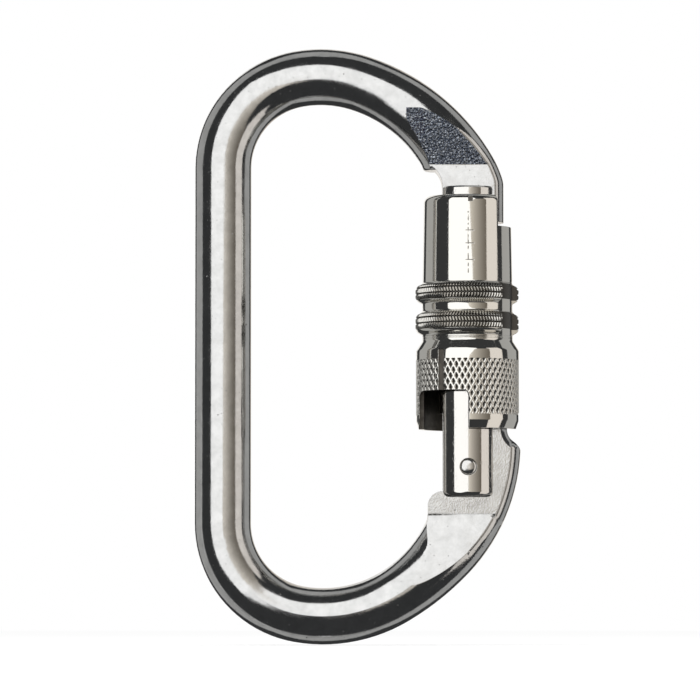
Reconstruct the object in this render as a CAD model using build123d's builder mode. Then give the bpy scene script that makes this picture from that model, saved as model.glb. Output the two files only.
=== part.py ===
from build123d import *
import os
from math import cos, radians, sin

os.makedirs("parts", exist_ok=True)

# A steel locking carabiner, upright. X runs from the spine to the gate, Z is up and the front is -Y.
# The origin is the top of the opening, where a sling bears on the inside of the top bend.
# Lengths are millimetres and angles are degrees.

# Frame: a round bar bent to a D, whose ends are pressed flat into the nose blade and the tongue.
bar_diameter = 10.0
bar_rounding = 4.98
spine_x = -17.6
spine_top_z = -11.26
spine_bottom_z = -74.6
# Each bend is a radius and an angle, taken one after the other from the spine.
top_outer_bends = [(21.2, 80.0), (27.9, 28.15), (39.6, 41.85), (20.0, 12.0), (5.0, 18.0)]
top_inner_bends = [(11.2, 80.0), (17.9, 28.15), (22.66, 40.0), (4.0, 31.85)]
bottom_outer_bends = [(21.35, 80.0), (29.8, 40.65), (50.0, 15.6), (33.5, 43.75)]
bottom_inner_bends = [(11.35, 80.0), (19.8, 40.65), (20.82, 34.35), (3.0, 25.0)]
flat_thickness = 6.6

# Nose: the pressed ramp runs down to the flat blade, which enters the gate's upper fork.
nose_ramp_top_z = -0.9
nose_ramp_foot_z = -10.9
nose_bottom_z = -11.8
nose_end_easing = 0.6
blade_root_x = 20.25
blade_side_middle = (21.15, -13.2)
blade_left_x = 21.45
blade_side_z = -15.2
blade_bottom_z = -21.1

# Tongue: a hollow ramp runs up to a step, and above it the flat tongue enters the gate's lower fork.
tongue_ramp_start_z = -85.6
tongue_ramp_middle = (4.38, -79.8)
tongue_step_z = -73.0
tongue_step_height = 0.4
tongue_corner_z = -71.2
tongue_corner_middle = (19.55, -69.7)
tongue_corner_end_z = -69.0
# How far the tongue's inner side is hidden behind the gate's cheeks.
tongue_behind_cheek = 0.1
neck_inner_x = 28.9
neck_root_z = -59.7
neck_outer_x = 32.86
neck_top_z = -55.8
neck_edge_z = -58.0
neck_bevel = 1.2
shoulder_foot = (33.96, -60.1)
shoulder_middle = (34.86, -60.95)
shoulder_end = (35.61, -63.1)

# Gate: a round bar on the hinge rivet, forked at both ends.
gate_x = 25.9
gate_diameter = 11.1
gate_bottom_z = -70.0
gate_top_z = -14.8
gate_foot_rounding = 0.9
gate_head_bevel = 0.3
fork_slot_width = 6.8
lower_slot_top_z = -55.2
upper_slot_bottom_z = -22.0
rivet_z = -64.7
rivet_diameter = 3.0
rivet_length = 11.8
rivet_dome_rounding = 1.2
fit_clearance = 0.01
running_clearance = 0.06

# Latch: a pin across the upper fork that lies in the blade's notch.
latch_x = 23.6
latch_z = -18.0
latch_diameter = 2.5
latch_length = 8.2
latch_end_bevel = 0.25
notch_play_below = 0.65
notch_play = 0.25

# Closing spring and plunger, in the gate's bore. The plunger rides on the round top of the tongue, whose
# centre lies off the rivet, so that opening the gate lifts the plunger evenly.
bore_diameter = 4.1
bore_top_z = -41.0
plunger_diameter = 4.0
plunger_top_z = -50.5
plunger_spigot_diameter = 2.2
plunger_spigot_length = 2.0
plunger_clearance = 0.08
cam_offset = 2.7
cam_offset_angle = 106.0
cam_radius = 5.0
# How far past the gate's axis the cam reaches.
cam_overrun = 0.6
gate_spring_wire = 0.5
gate_spring_mean_radius = 1.6
gate_spring_turns = 8

# Sleeve: a turned tube with two beads and a collar, cut away where the nose and the tongue pass.
sleeve_top_z = -16.4
sleeve_bottom_z = -57.9
tube_top_radius = 7.72
tube_foot_radius = 8.0
waist_radius = 8.05
bead_radius = 9.25
bead_rounding = 1.15
# Each bead is its centre, its height and the middle of its knurled band.
beads = [(-33.8, 3.25, -33.4), (-39.1, 3.75, -38.65)]
bead_groove_spacing = 1.0
bead_groove_width = 0.4
bead_groove_depth = 0.3
cone_top_z = -42.1
cone_bottom_z = -44.1
collar_radius = 9.15
collar_bevel_z = -56.5
collar_bevel = 0.5
skirt_inner_radius = 7.75
skirt_cavity_top_z = -50.6
guide_radius = 5.63
upper_guide_bottom_z = -24.0
lower_guide_top_z = -45.6
spring_cavity_radius = 6.7
bead_root_radius = 6.9
# Angles round the sleeve are taken from the front, positive towards the outside of the carabiner.
cut_away_angles = (43.0, 220.0)
cut_away_bottom_z = -22.0
milled_angles = (41.0, 95.0)
milled_radius = 7.95
milled_top_z = -31.5
milled_bottom_z = -41.4
window_left = -8.6
window_right = 0.1
window_top_z = -51.2
window_corner = 1.0
# A short slot runs up from the window through the collar's knurl.
slot_left = -5.3
slot_right = -4.35
slot_top_z = -43.9
slot_floor_y = -7.0
release_angles = (80.0, 210.0)
release_top_z = -55.0
lobe_corner = 4.5
lobe_corner_y = -4.0
sleeve_rim_rounding = 1.2
index_mark_size = 0.8
index_mark_depth = 0.3
index_mark_x = 0.4
index_mark_z = -17.4

# Torsion spring of the sleeve, its seat, and the dowel that keeps the sleeve on the gate.
sleeve_spring_wire = 0.7
sleeve_spring_mean_radius = 6.17
sleeve_spring_turns = 8
seat_height = 0.8
seat_inner_radius = 5.66
seat_outer_radius = 6.6
dowel_diameter = 1.5
dowel_z = -48.5
dowel_inner_radius = 3.0
dowel_outer_radius = 6.4
dowel_angle = 180.0
groove_radius = 6.55
groove_play = 0.15
groove_margin_angle = 10.0
sleeve_turn = 90.0

# Values worked out from the dimensions above.
bar_radius = bar_diameter / 2
flat_half = flat_thickness / 2
gate_radius = gate_diameter / 2
rivet_centre = (gate_x, rivet_z)
side = bar_radius + 1.0
cam_centre = (
    gate_x - cam_offset * sin(radians(cam_offset_angle)),
    rivet_z + cam_offset * cos(radians(cam_offset_angle)),
)
plunger_radius = plunger_diameter / 2
# The height of the centre of the plunger's round end above the rivet, when the gate is closed.
follower_height = (
    cam_offset * cos(radians(cam_offset_angle))
    + ((cam_radius + plunger_radius) ** 2 - (gate_x - cam_centre[0]) ** 2) ** 0.5
    + plunger_clearance
)


def bend_bar(start, direction, bends, turn, end_z):
    """Draw tangent arcs from a point, then a straight line to a height. Return the line's end."""
    point = start
    for radius, angle in bends:
        arc = JernArc(point, direction, radius, turn * angle)
        point = arc @ 1
        direction = arc % 1
    return Line(point, (point.X, end_z)) @ 1


def ring_sector(inner, outer, angles):
    """Sketch a sector of a ring round the gate's axis, between two angles from the front."""
    start = angles[0] - 90
    size = angles[1] - angles[0]
    with BuildSketch(mode=Mode.PRIVATE) as sector:
        with BuildLine():
            outside = CenterArc((gate_x, 0), outer, start, size)
            inside = CenterArc((gate_x, 0), inner, start, size)
            Line(outside @ 0, inside @ 0)
            Line(outside @ 1, inside @ 1)
        make_face()
    return sector.sketch


def coil(wire, mean_radius, turns, bottom_z, top_z):
    """A helical spring of round wire on the gate's axis, between two heights."""
    height = top_z - bottom_z - wire
    pitch = height / turns
    with BuildPart() as spring:
        with BuildLine() as path:
            Helix(pitch, height, mean_radius, center=(gate_x, 0, bottom_z + wire / 2))
        with BuildSketch(Plane(origin=path.line @ 0, z_dir=path.line % 0)):
            Circle(wire / 2)
        sweep()
    print(f"coil of {turns} turns: least gap between turns {pitch - wire:.2f} mm")
    return spring.part


# Body: the forged frame.
with BuildPart() as body:
    with BuildSketch(Plane.XZ):
        with BuildLine():
            outer_x = spine_x - bar_radius
            inner_x = spine_x + bar_radius
            Line((outer_x, spine_bottom_z), (outer_x, spine_top_z))
            Line((inner_x, spine_bottom_z), (inner_x, spine_top_z))
            nose_outer = bend_bar((outer_x, spine_top_z), (0, 1), top_outer_bends, -1, blade_bottom_z)
            nose_inner = bend_bar((inner_x, spine_top_z), (0, 1), top_inner_bends, -1, blade_bottom_z)
            Line(nose_outer, nose_inner)
            neck_outer = bend_bar((outer_x, spine_bottom_z), (0, -1), bottom_outer_bends, 1, neck_top_z)
            neck_inner = bend_bar((inner_x, spine_bottom_z), (0, -1), bottom_inner_bends, 1, neck_top_z)
            Line(neck_outer, neck_inner)
        make_face()
    extrude(amount=bar_radius, both=True)
    # The long rims are rounded until the section is the round bar. The two ends stay square.
    front_and_back = body.faces().sort_by(Axis.Y)[0].edges() + body.faces().sort_by(Axis.Y)[-1].edges()
    fillet(front_and_back.filter_by(Axis.X, reverse=True), radius=bar_rounding)
    # Nose: the ramp runs down from the bar to the blade, alike on the front and the back.
    with BuildSketch(Plane.YZ):
        with BuildLine():
            ramp = Line((-bar_radius, nose_ramp_top_z), (-flat_half, nose_ramp_foot_z))
            Polyline(
                ramp @ 1,
                (-flat_half, blade_bottom_z - 1),
                (-side, blade_bottom_z - 1),
                (-side, nose_ramp_top_z),
                ramp @ 0,
            )
        make_face()
        mirror(about=Plane.YZ)
    extrude(amount=neck_outer.X + 1, mode=Mode.SUBTRACT)
    # Nose: the end is cut square below the ramp, and the blade is narrower than the bar.
    with BuildSketch(Plane.XZ):
        with BuildLine():
            blade_side = ThreePointArc(
                (blade_root_x, nose_bottom_z), blade_side_middle, (blade_left_x, blade_side_z)
            )
            Polyline(
                blade_side @ 1,
                (blade_left_x, blade_bottom_z - 1),
                (inner_x, blade_bottom_z - 1),
                (inner_x, nose_bottom_z),
                blade_side @ 0,
            )
        make_face()
    extrude(amount=side, both=True, mode=Mode.SUBTRACT)
    # Nose: the notch for the latch pin opens towards the inside of the carabiner. It is deeper below
    # the pin, because the pin sinks a little as the gate swings.
    notch_radius = (latch_diameter + notch_play + notch_play_below) / 2
    notch_z = latch_z - (notch_play_below - notch_play) / 2
    with BuildSketch(Plane.XZ):
        with Locations((latch_x, notch_z)):
            Circle(notch_radius)
        with Locations((latch_x - notch_radius, notch_z)):
            Rectangle(2 * notch_radius, 2 * notch_radius)
    extrude(amount=side, both=True, mode=Mode.SUBTRACT)
    # Tongue: the hollow ramp, the step, and the flat above it.
    with BuildSketch(Plane.YZ):
        with BuildLine():
            hollow = ThreePointArc(
                (-bar_radius, tongue_ramp_start_z),
                (-tongue_ramp_middle[0], tongue_ramp_middle[1]),
                (-flat_half - tongue_step_height, tongue_step_z),
            )
            Polyline(
                hollow @ 1,
                (-flat_half, tongue_step_z),
                (-flat_half, neck_top_z + 1),
                (-side, neck_top_z + 1),
                (-side, tongue_ramp_start_z),
                hollow @ 0,
            )
        make_face()
        mirror(about=Plane.YZ)
    extrude(amount=neck_outer.X + 1, mode=Mode.SUBTRACT)
    # Tongue: its outline from the inner corner, over the cam, up the neck and down the shoulder.
    with BuildSketch(Plane.XZ):
        with BuildLine():
            cheek_half_width = (gate_radius**2 - (fork_slot_width / 2) ** 2) ** 0.5
            cam_left_x = gate_x - cheek_half_width + tongue_behind_cheek
            corner = ThreePointArc(
                (neck_inner.X, tongue_corner_z), tongue_corner_middle, (cam_left_x, tongue_corner_end_z)
            )
            cam_left_z = cam_centre[1] + (cam_radius**2 - (cam_left_x - cam_centre[0]) ** 2) ** 0.5
            cam_right_x = gate_x + cam_overrun
            cam_right_z = cam_centre[1] + (cam_radius**2 - (cam_right_x - cam_centre[0]) ** 2) ** 0.5
            cam = ThreePointArc(
                (cam_left_x, cam_left_z),
                (cam_centre[0], cam_centre[1] + cam_radius),
                (cam_right_x, cam_right_z),
            )
            Line(corner @ 1, cam @ 0)
            neck_line = Polyline(
                cam @ 1,
                (neck_inner_x, neck_root_z),
                (neck_inner_x, neck_top_z),
                (neck_outer_x, neck_top_z),
                (neck_outer_x, neck_edge_z),
            )
            hollow_shoulder = TangentArc(neck_line @ 1, shoulder_foot, tangent=(0, -1))
            round_shoulder = ThreePointArc(hollow_shoulder @ 1, shoulder_middle, shoulder_end)
            Polyline(
                round_shoulder @ 1,
                (neck_outer.X + 1, shoulder_end[1]),
                (neck_outer.X + 1, neck_top_z + 1),
                (inner_x, neck_top_z + 1),
                (inner_x, tongue_corner_z),
                corner @ 0,
            )
        make_face()
    extrude(amount=side, both=True, mode=Mode.SUBTRACT)
    # Tongue: the neck's outer edges are bevelled to clear the turning sleeve.
    neck_edges = body.edges().filter_by(Axis.Z).filter_by_position(
        Axis.X, neck_outer_x - 0.01, neck_outer_x + 0.01
    )
    chamfer(neck_edges, neck_bevel)
    # The nose's square end is eased.
    nose_end = body.edges().filter_by_position(Axis.Z, nose_bottom_z - 0.01, nose_bottom_z + 0.01)
    fillet(nose_end.filter_by_position(Axis.X, inner_x, blade_root_x - 0.1), nose_end_easing)
    with BuildSketch(Plane.XZ):
        with Locations(rivet_centre):
            Circle(rivet_diameter / 2 + running_clearance)
    extrude(amount=side, both=True, mode=Mode.SUBTRACT)

# Gate: the bar with its two forks, the bore for the closing spring and the cross holes.
with BuildPart() as gate:
    with BuildSketch(Plane.XY.offset(gate_bottom_z)):
        with Locations((gate_x, 0)):
            Circle(gate_radius)
    extrude(amount=gate_top_z - gate_bottom_z)
    fillet(gate.edges().sort_by(Axis.Z)[0], radius=gate_foot_rounding)
    chamfer(gate.edges().sort_by(Axis.Z)[-1], gate_head_bevel)
    with BuildSketch(Plane.XZ):
        lower_slot_height = lower_slot_top_z - gate_bottom_z
        with Locations((gate_x, lower_slot_top_z - lower_slot_height / 2)):
            Rectangle(gate_diameter + 2, lower_slot_height)
        upper_slot_height = gate_top_z - upper_slot_bottom_z
        with Locations((gate_x, upper_slot_bottom_z + upper_slot_height / 2)):
            Rectangle(gate_diameter + 2, upper_slot_height)
    extrude(amount=fork_slot_width / 2, both=True, mode=Mode.SUBTRACT)
    with BuildSketch(Plane.XZ):
        with Locations(rivet_centre):
            Circle(rivet_diameter / 2 + fit_clearance)
        with Locations((latch_x, latch_z)):
            Circle(latch_diameter / 2 + fit_clearance)
    extrude(amount=gate_diameter, both=True, mode=Mode.SUBTRACT)
    with BuildSketch(Plane.XY.offset(lower_slot_top_z)):
        with Locations((gate_x, 0)):
            Circle(bore_diameter / 2)
    extrude(amount=bore_top_z - lower_slot_top_z, mode=Mode.SUBTRACT)
    # The dowel's hole is drilled from the back.
    with BuildSketch(Plane.XZ.offset(-dowel_inner_radius)):
        with Locations((gate_x, dowel_z)):
            Circle(dowel_diameter / 2 + fit_clearance)
    extrude(amount=-gate_radius, mode=Mode.SUBTRACT)

# Hinge rivet: it turns in the tongue, is fast in the gate's cheeks and has domed ends.
with BuildPart() as hinge_rivet:
    with BuildSketch(Plane.XZ):
        with Locations(rivet_centre):
            Circle(rivet_diameter / 2)
    extrude(amount=rivet_length / 2, both=True)
    fillet(hinge_rivet.edges().filter_by(GeomType.CIRCLE), radius=rivet_dome_rounding)

# Latch pin: it takes the load from the gate into the nose.
with BuildPart() as latch_pin:
    with BuildSketch(Plane.XZ):
        with Locations((latch_x, latch_z)):
            Circle(latch_diameter / 2)
    extrude(amount=latch_length / 2, both=True)
    chamfer(latch_pin.edges().filter_by(GeomType.CIRCLE), latch_end_bevel)

# Gate plunger: a round-ended pin that presses on the tongue, with a spigot for the spring.
with BuildPart() as gate_plunger:
    follower_z = rivet_z + follower_height
    with BuildSketch(Plane.XZ.move(Location((gate_x, 0, 0)))):
        with BuildLine():
            tip = CenterArc((0, follower_z), plunger_radius, -90, 90)
            spigot_radius = plunger_spigot_diameter / 2
            spigot_top_z = plunger_top_z + plunger_spigot_length
            Polyline(
                tip @ 1,
                (plunger_radius, plunger_top_z),
                (spigot_radius, plunger_top_z),
                (spigot_radius, spigot_top_z),
                (0, spigot_top_z),
                tip @ 0,
            )
        make_face()
    revolve(axis=Axis((gate_x, 0, 0), (0, 0, 1)))

# Locking sleeve: one turned piece, then milled.
with BuildPart() as locking_sleeve:
    sleeve_plane = Plane.XZ.move(Location((gate_x, 0, 0)))
    with BuildSketch(sleeve_plane):
        with BuildLine():
            Polyline(
                (guide_radius, sleeve_top_z),
                (tube_top_radius, sleeve_top_z),
                (tube_foot_radius, beads[0][0]),
                (waist_radius, beads[0][0]),
                (waist_radius, cone_top_z),
                (collar_radius, cone_bottom_z),
                (collar_radius, collar_bevel_z),
                (collar_radius - collar_bevel, sleeve_bottom_z),
                (skirt_inner_radius, sleeve_bottom_z),
                (skirt_inner_radius, skirt_cavity_top_z),
                (guide_radius, skirt_cavity_top_z),
                (guide_radius, lower_guide_top_z),
                (spring_cavity_radius, lower_guide_top_z),
                (spring_cavity_radius, upper_guide_bottom_z),
                (guide_radius, upper_guide_bottom_z),
                close=True,
            )
        make_face()
        # The beads are fat rings with a rounded section.
        for bead_z, bead_height, _ in beads:
            with Locations(((bead_root_radius + bead_radius) / 2, bead_z)):
                RectangleRounded(bead_radius - bead_root_radius, bead_height, bead_rounding)
        # Two fine grooves part the three rows of each bead's knurl.
        for _, _, knurl_z in beads:
            for groove in (-0.5, 0.5):
                with Locations((bead_radius, knurl_z + groove * bead_groove_spacing)):
                    Rectangle(2 * bead_groove_depth, bead_groove_width, mode=Mode.SUBTRACT)
    revolve(axis=Axis((gate_x, 0, 0), (0, 0, 1)))
    top_rim = locking_sleeve.edges().filter_by(GeomType.CIRCLE).group_by(Axis.Z)[-1].sort_by(SortBy.RADIUS)[-1]
    fillet(top_rim, radius=sleeve_rim_rounding)
    # The cut-away at the top lets the blade out.
    with BuildSketch(Plane.XY.offset(cut_away_bottom_z)):
        add(ring_sector(gate_radius - 1, bead_radius + 1, cut_away_angles))
    extrude(amount=sleeve_top_z - cut_away_bottom_z + 1, mode=Mode.SUBTRACT)
    # The beads are milled down to the tube on the outer front side.
    with BuildSketch(Plane.XY.offset(milled_bottom_z)):
        add(ring_sector(milled_radius, bead_radius + 1, milled_angles))
    extrude(amount=milled_top_z - milled_bottom_z, mode=Mode.SUBTRACT)
    # The window in the skirt's front is milled straight in.
    with BuildSketch(Plane.XZ):
        window_width = window_right - window_left
        window_height = 2 * (window_top_z - sleeve_bottom_z)
        with Locations((gate_x + window_left + window_width / 2, sleeve_bottom_z)):
            RectangleRounded(window_width, window_height, window_corner)
    extrude(amount=collar_radius + 1, mode=Mode.SUBTRACT)
    # The slot above the window.
    with BuildSketch(Plane.XZ.offset(-slot_floor_y)):
        slot_height = slot_top_z - window_top_z
        with Locations((gate_x + (slot_left + slot_right) / 2, window_top_z + slot_height / 2)):
            Rectangle(slot_right - slot_left, slot_height)
    extrude(amount=collar_radius + slot_floor_y + 1, mode=Mode.SUBTRACT)
    # The release slot, at the outer back, passes over the neck when the sleeve is turned.
    with BuildSketch(Plane.XY.offset(sleeve_bottom_z)):
        add(ring_sector(gate_radius, collar_radius + 1, release_angles))
    extrude(amount=release_top_z - sleeve_bottom_z, mode=Mode.SUBTRACT)
    # The inner lobe's front corner is cut round.
    with BuildSketch(Plane.YZ.offset(gate_x - collar_radius - 1)):
        with BuildLine():
            corner_arc = JernArc((lobe_corner_y, sleeve_bottom_z + lobe_corner), (0, -1), lobe_corner, 90)
            Polyline(
                corner_arc @ 1,
                (corner_arc @ 1 - (0, 1)),
                (lobe_corner_y - 1, sleeve_bottom_z - 1),
                (lobe_corner_y - 1, sleeve_bottom_z + lobe_corner),
                corner_arc @ 0,
            )
        make_face()
    extrude(amount=collar_radius, mode=Mode.SUBTRACT)
    # The dowel's groove runs round the lower guide, as long as the sleeve's turn.
    groove_half = dowel_diameter / 2 + groove_play
    groove_angles = (dowel_angle - groove_margin_angle, dowel_angle + sleeve_turn + groove_margin_angle)
    with BuildSketch(Plane.XY.offset(dowel_z - groove_half)):
        add(ring_sector(guide_radius - 0.1, groove_radius, groove_angles))
    extrude(amount=2 * groove_half, mode=Mode.SUBTRACT)
    # A punched square at the top of the front marks the locked position.
    with BuildSketch(Plane.XZ.offset(tube_top_radius - index_mark_depth)):
        with Locations((gate_x + index_mark_x, index_mark_z)):
            Rectangle(index_mark_size, index_mark_size)
    extrude(amount=1, mode=Mode.SUBTRACT)

# Sleeve stop pin: a dowel in the back of the gate.
with BuildPart() as sleeve_stop_pin:
    with BuildSketch(Plane.XZ.offset(-dowel_inner_radius)):
        with Locations((gate_x, dowel_z)):
            Circle(dowel_diameter / 2)
    extrude(amount=dowel_inner_radius - dowel_outer_radius)

# Spring seat: a washer under the sleeve's torsion spring.
with BuildPart() as spring_seat:
    with BuildSketch(Plane.XY.offset(lower_guide_top_z)):
        with Locations((gate_x, 0)):
            Circle(seat_outer_radius)
            Circle(seat_inner_radius, mode=Mode.SUBTRACT)
    extrude(amount=seat_height)

gate_spring = coil(gate_spring_wire, gate_spring_mean_radius, gate_spring_turns, plunger_top_z, bore_top_z)
sleeve_spring = coil(
    sleeve_spring_wire,
    sleeve_spring_mean_radius,
    sleeve_spring_turns,
    lower_guide_top_z + seat_height,
    upper_guide_bottom_z,
)

pieces = {
    "body": body.part,
    "gate": gate.part,
    "hinge_rivet": hinge_rivet.part,
    "latch_pin": latch_pin.part,
    "gate_plunger": gate_plunger.part,
    "gate_spring": gate_spring,
    "locking_sleeve": locking_sleeve.part,
    "sleeve_spring": sleeve_spring,
    "spring_seat": spring_seat.part,
    "sleeve_stop_pin": sleeve_stop_pin.part,
}
for name, piece in pieces.items():
    piece.label = name
    export_step(piece, f"parts/{name}.step")
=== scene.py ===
import math

import bmesh
import bpy
from mathutils import Matrix, Vector


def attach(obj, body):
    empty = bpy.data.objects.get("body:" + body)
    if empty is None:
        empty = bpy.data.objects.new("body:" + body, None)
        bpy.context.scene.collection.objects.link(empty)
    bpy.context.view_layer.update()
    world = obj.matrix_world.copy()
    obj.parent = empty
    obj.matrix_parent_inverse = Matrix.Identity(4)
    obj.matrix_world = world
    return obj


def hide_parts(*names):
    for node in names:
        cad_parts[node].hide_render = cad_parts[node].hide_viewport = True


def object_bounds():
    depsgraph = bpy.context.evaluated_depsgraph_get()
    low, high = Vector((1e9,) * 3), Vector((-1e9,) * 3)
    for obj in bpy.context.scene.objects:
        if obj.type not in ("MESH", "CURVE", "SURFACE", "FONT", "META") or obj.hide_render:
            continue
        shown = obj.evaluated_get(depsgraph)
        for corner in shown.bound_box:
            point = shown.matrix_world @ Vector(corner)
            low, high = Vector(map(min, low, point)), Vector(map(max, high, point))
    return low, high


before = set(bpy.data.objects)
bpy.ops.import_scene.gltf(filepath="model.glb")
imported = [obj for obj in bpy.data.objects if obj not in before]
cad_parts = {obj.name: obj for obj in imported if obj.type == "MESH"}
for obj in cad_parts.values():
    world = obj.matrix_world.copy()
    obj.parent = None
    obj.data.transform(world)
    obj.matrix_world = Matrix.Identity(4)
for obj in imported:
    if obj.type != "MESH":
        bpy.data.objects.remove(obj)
cad_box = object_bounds()
scene = bpy.context.scene

# ---------------------------------------------------------------------------------------------
# Frame. A 10 mm steel bar bent into a D and pressed flat at both ends: a rough ramp and a blade at
# the nose, a hollow ramp and a step at the tongue. It is zinc plated and tumbled bright.

# Sizes are in millimetres, and a finished mesh is scaled to metres.
BAR_RADIUS = 5.0
FLAT_HALF = 3.3
OUTER_X, INNER_X = -22.6, -12.6
SPINE_TOP, SPINE_BOTTOM = -11.26, -74.6
# Each bend of the bar is a radius and an angle, from the spine to the end.
TOP_BENDS = [(21.2, 80.0), (27.9, 28.15), (39.6, 41.85), (20.0, 12.0), (5.0, 18.0)]
BOTTOM_BENDS = [(21.35, 80.0), (29.8, 40.65), (50.0, 15.6), (33.5, 43.75)]
BOTTOM_INNER_BENDS = [(11.35, 80.0), (19.8, 40.65), (20.82, 34.35), (3.0, 25.0)]
NOSE_RAMP_TOP, NOSE_RAMP_FOOT, BLADE_END = -0.9, -10.9, -21.7
NOSE_RAMP_SLOPE = (BAR_RADIUS - FLAT_HALF) / (NOSE_RAMP_TOP - NOSE_RAMP_FOOT)
# The tongue's hollow ramp, as heights and half thicknesses. It ends at the step.
TONGUE_RAMP = [(-85.6, 5.0), (-79.8, 4.38), (-73.0, 3.7)]
STEP_Z = -73.12
# The tongue's rounded inner corner, and the heights between which its inner edge is square.
CORNER_FOOT, CORNER_CENTRE, CORNER_RADIUS = -71.2, Vector((21.285, -71.423)), 2.445
SQUARE_FOOT, SQUARE_FULL, SQUARE_TOP, SQUARE_STEP = -79.2, -73.4, -69.25, 0.3
# The pressed flats' outer rims roll over, and meet their flat in a crease at this angle.
NOSE_RIM, TONGUE_RIM, NECK_RIM_END = 2.5, 3.2, -61.0
RIM_LIP = math.radians(26)
RIM_INSET, RIM_FADE = 1.5, 0.3
CREASE_DEPTH, CUTTER_GAP, CUTTER_WALL = 0.10, 0.012, 2.0


def nose_half(z):
    """Half the frame's thickness at a height on the nose."""
    return min(BAR_RADIUS, max(FLAT_HALF, BAR_RADIUS + NOSE_RAMP_SLOPE * (z - NOSE_RAMP_TOP)))


def tongue_half(z):
    """Half the frame's thickness at a height on the tongue."""
    (z0, y0), (z1, y1), (z2, y2) = TONGUE_RAMP
    if z < z0:
        return BAR_RADIUS
    if z > z2:
        return FLAT_HALF
    foot = y0 * (z - z1) * (z - z2) / ((z0 - z1) * (z0 - z2))
    middle = y1 * (z - z0) * (z - z2) / ((z1 - z0) * (z1 - z2))
    top = y2 * (z - z0) * (z - z1) / ((z2 - z0) * (z2 - z1))
    return foot + middle + top


def outline_path(x, z, heading, turn, bends, end_z, step=0.4):
    """Points along an edge of the frame with the direction inwards, from the spine to an end."""
    def side(angle):
        return turn * Vector((-math.sin(angle), math.cos(angle)))

    points = []
    for radius, angle in bends:
        centre = Vector((x, z)) + radius * side(heading)
        count = max(2, round(radius * math.radians(angle) / step))
        for i in range(count):
            inwards = side(heading + turn * math.radians(angle) * i / count)
            points.append((centre - radius * inwards, inwards))
        heading += turn * math.radians(angle)
        x, z = centre - radius * side(heading)
    count = max(2, round(abs(end_z - z) / step))
    points += [(Vector((x, z + (end_z - z) * i / count)), side(heading)) for i in range(count + 1)]
    return points


def on_inner_round(spot):
    """Whether a point lies on the round of the bar, on the tongue's inner side."""
    if not (12 < spot.x < 24 and SQUARE_FOOT - 1 < spot.z < SQUARE_TOP):
        return False
    flat = Vector((spot.x, spot.z))
    point, outwards = min(inner_path, key=lambda p: abs((flat - p[0]).cross(p[1])))
    depth = (point - flat).dot(outwards)
    return depth < BAR_RADIUS - 1 and abs(math.hypot(BAR_RADIUS - depth, spot.y) - BAR_RADIUS) < 0.05


def square_edge_x(z):
    """Where the tongue's inner edge is at a height."""
    after = next(i for i, spot in enumerate(inner_edge) if spot.y >= z)
    low, high = inner_edge[after - 1], inner_edge[after]
    return low.x + (high.x - low.x) * (z - low.y) / (high.y - low.y)


def rim_section(point, inwards, half, radius):
    """Where a ball that rolls in the rim's corner sits, and the turns where it meets the two faces."""
    def surface(depth):
        return half((point + inwards * depth).y) + radius * (1 - math.cos(RIM_LIP))

    low, high = 0.0, math.pi / 2
    for _ in range(40):
        turn = (low + high) / 2
        depth = BAR_RADIUS - (BAR_RADIUS - radius) * math.cos(turn)
        across = (BAR_RADIUS - radius) * math.sin(turn)
        slope = (surface(depth + 0.05) - surface(depth - 0.05)) / 0.1
        gap = (surface(depth) - across) / math.sqrt(1 + slope**2) - radius
        low, high = (turn, high) if gap > 0 else (low, turn)
    return depth, across, math.atan2(1, -slope), math.pi - turn


def closed_cutter(sections, flat_sides=False):
    """A cutter whose skin runs through a row of rings, with a cap at each end."""
    bm = bmesh.new()
    rings = [[bm.verts.new(spot) for spot in section] for section in sections]
    for ring, after in zip(rings, rings[1:]):
        for i in range(len(ring)):
            j = (i + 1) % len(ring)
            bm.faces.new((ring[i], ring[j], after[j], after[i]))
    caps = [bm.faces.new(rings[0]), bm.faces.new(rings[-1])]
    bmesh.ops.triangulate(bm, faces=caps if flat_sides else bm.faces)
    bmesh.ops.recalc_face_normals(bm, faces=bm.faces)
    mesh = bpy.data.meshes.new("cutter")
    bm.to_mesh(mesh)
    bm.free()
    return mesh


def rim_cutter(path, half, radius, side):
    """A cutter that leaves the corner between the flat and the round of the bar rolled over.

    A shallow groove runs along the crease. The rim fades out where the flat runs up to the full bar.
    """
    degree = math.radians(1)
    sections = []
    for point, inwards in path:
        room = BAR_RADIUS * math.cos(RIM_LIP) - 0.02 - half((point + inwards * RIM_INSET).y)
        fade = min(1, room / RIM_FADE)
        if fade <= 0:
            continue
        depth, across, start, end = rim_section(point, inwards, half, radius)
        start, end = start + RIM_LIP, end + 3 * degree
        full = radius + CUTTER_GAP
        inner = [(start - 10 * degree, full), (start - degree, full)]
        inner += [(start + 1.5 * degree, radius - CREASE_DEPTH * fade), (start + 4 * degree, full)]
        inner += [(start + 4 * degree + (end - start - 4 * degree) * i / 20, full) for i in range(1, 21)]
        section = []
        for turn, reach in inner + [(turn, radius + CUTTER_WALL) for turn, _ in reversed(inner)]:
            spot = point + inwards * (depth + reach * math.cos(turn))
            section.append((spot.x, side * (across + reach * math.sin(turn)), spot.y))
        sections.append(section)
    return closed_cutter(sections)


def milled(blank, cutters):
    """The blank with every cutter taken out of it."""
    work = bpy.data.objects.new("work", blank)
    tools = [bpy.data.objects.new("tool", cutter) for cutter in cutters]
    for held in [work] + tools:
        scene.collection.objects.link(held)
    for tool in tools:
        cut = work.modifiers.new("cut", "BOOLEAN")
        cut.solver = "MANIFOLD"
        cut.object = tool
    done = bpy.data.meshes.new_from_object(work.evaluated_get(bpy.context.evaluated_depsgraph_get()))
    for held in [work] + tools:
        bpy.data.objects.remove(held)
    return done


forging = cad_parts["body"].data.copy()
forging.transform(Matrix.Scale(1000, 4))
bm = bmesh.new()
bm.from_mesh(forging)
bmesh.ops.remove_doubles(bm, verts=bm.verts, dist=0.001)
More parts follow.
